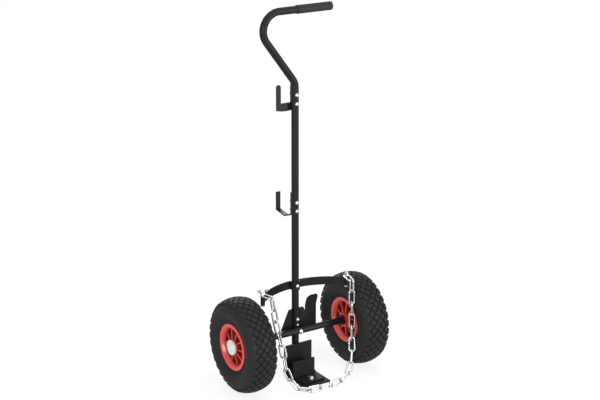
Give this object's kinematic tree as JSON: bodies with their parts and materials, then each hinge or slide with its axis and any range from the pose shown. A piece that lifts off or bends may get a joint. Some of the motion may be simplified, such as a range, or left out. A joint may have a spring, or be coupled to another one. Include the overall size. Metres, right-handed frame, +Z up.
{
  "type": "gas cylinder trolley",
  "caption": "Upright hand trolley for a gas cylinder: bent tube pole with side handle, hooks, curved cradle strap with safety chain, foot plate and air-filled wheels on an axle.",
  "frame": {"origin": "on the floor below the middle of the axle, at the centre of the outer box's underside", "axes": "+X to the right seen from the front, along the axle; the front, with the foot plate, faces -Y; +Z up"},
  "size_m": [0.445, 0.26, 1.0203],
  "materials": {
    "black_coat": "glossy",
    "zinc": "bright zinc",
    "plug_plastic": "matt",
    "grip_plastic": "matt",
    "tyre_rubber": "matt",
    "tube_rubber": "matt",
    "red_plastic": "satin",
    "white_plastic": "matt",
    "grey_plastic": "satin"
  },
  "bodies": {
    "frame": {"pole": "black_coat", "pole_plug": "plug_plastic", "handle_grip": "grip_plastic", "upper_hook": "black_coat", "lower_hook": "black_coat", "hook_bolts": "zinc", "lock_nuts": "zinc", "bottle_bow": "black_coat", "bow_bolt": "zinc", "eye_bolts": "zinc", "wing_nuts": "zinc", "chain_end_links": "zinc", "axle_bracket": "black_coat", "bracket_bolt": "zinc", "bracket_rivet": "zinc", "axle": "black_coat", "axle_bolt": "zinc", "axle_nut": "zinc", "axle_collars": "black_coat", "axle_washers": "zinc", "axle_lock_rings": "zinc", "foot_plate": "black_coat", "toe_bracket": "black_coat", "toe_bolt": "zinc", "toe_washer": "zinc"},
    "left_wheel": {"left_tyre": "tyre_rubber", "left_tube": "tube_rubber", "left_rim": "red_plastic", "left_bushes": "white_plastic", "left_hub_cap": "grey_plastic"},
    "right_wheel": {"right_tyre": "tyre_rubber", "right_tube": "tube_rubber", "right_rim": "red_plastic", "right_bushes": "white_plastic", "right_hub_cap": "grey_plastic"},
    "chain": {"chain_link_01": "zinc", "chain_link_02": "zinc", "chain_link_03": "zinc", "chain_link_04": "zinc", "chain_link_05": "zinc", "chain_link_06": "zinc", "chain_link_07": "zinc", "chain_link_08": "zinc", "chain_link_09": "zinc", "chain_link_10": "zinc", "chain_link_11": "zinc", "chain_link_12": "zinc", "chain_link_13": "zinc", "chain_link_14": "zinc", "chain_link_15": "zinc", "chain_link_16": "zinc", "chain_link_17": "zinc", "chain_link_18": "zinc", "chain_link_19": "zinc", "chain_link_20": "zinc", "chain_link_21": "zinc"}
  },
  "joints": [
    {"name": "left_wheel_spin", "type": "hinge", "parent": "frame", "child": "left_wheel", "pos_m": [-0.18, 0, 0.13], "axis": [1, 0, 0], "continuous": true},
    {"name": "right_wheel_spin", "type": "hinge", "parent": "frame", "child": "right_wheel", "pos_m": [0.18, 0, 0.13], "axis": [1, 0, 0], "continuous": true},
    {"name": "chain_swing", "type": "hinge", "parent": "frame", "child": "chain", "pos_m": [0, -0.06277, 0.27005], "axis": [-1, 0, 0], "range_deg": [0, 80]}
  ]
}
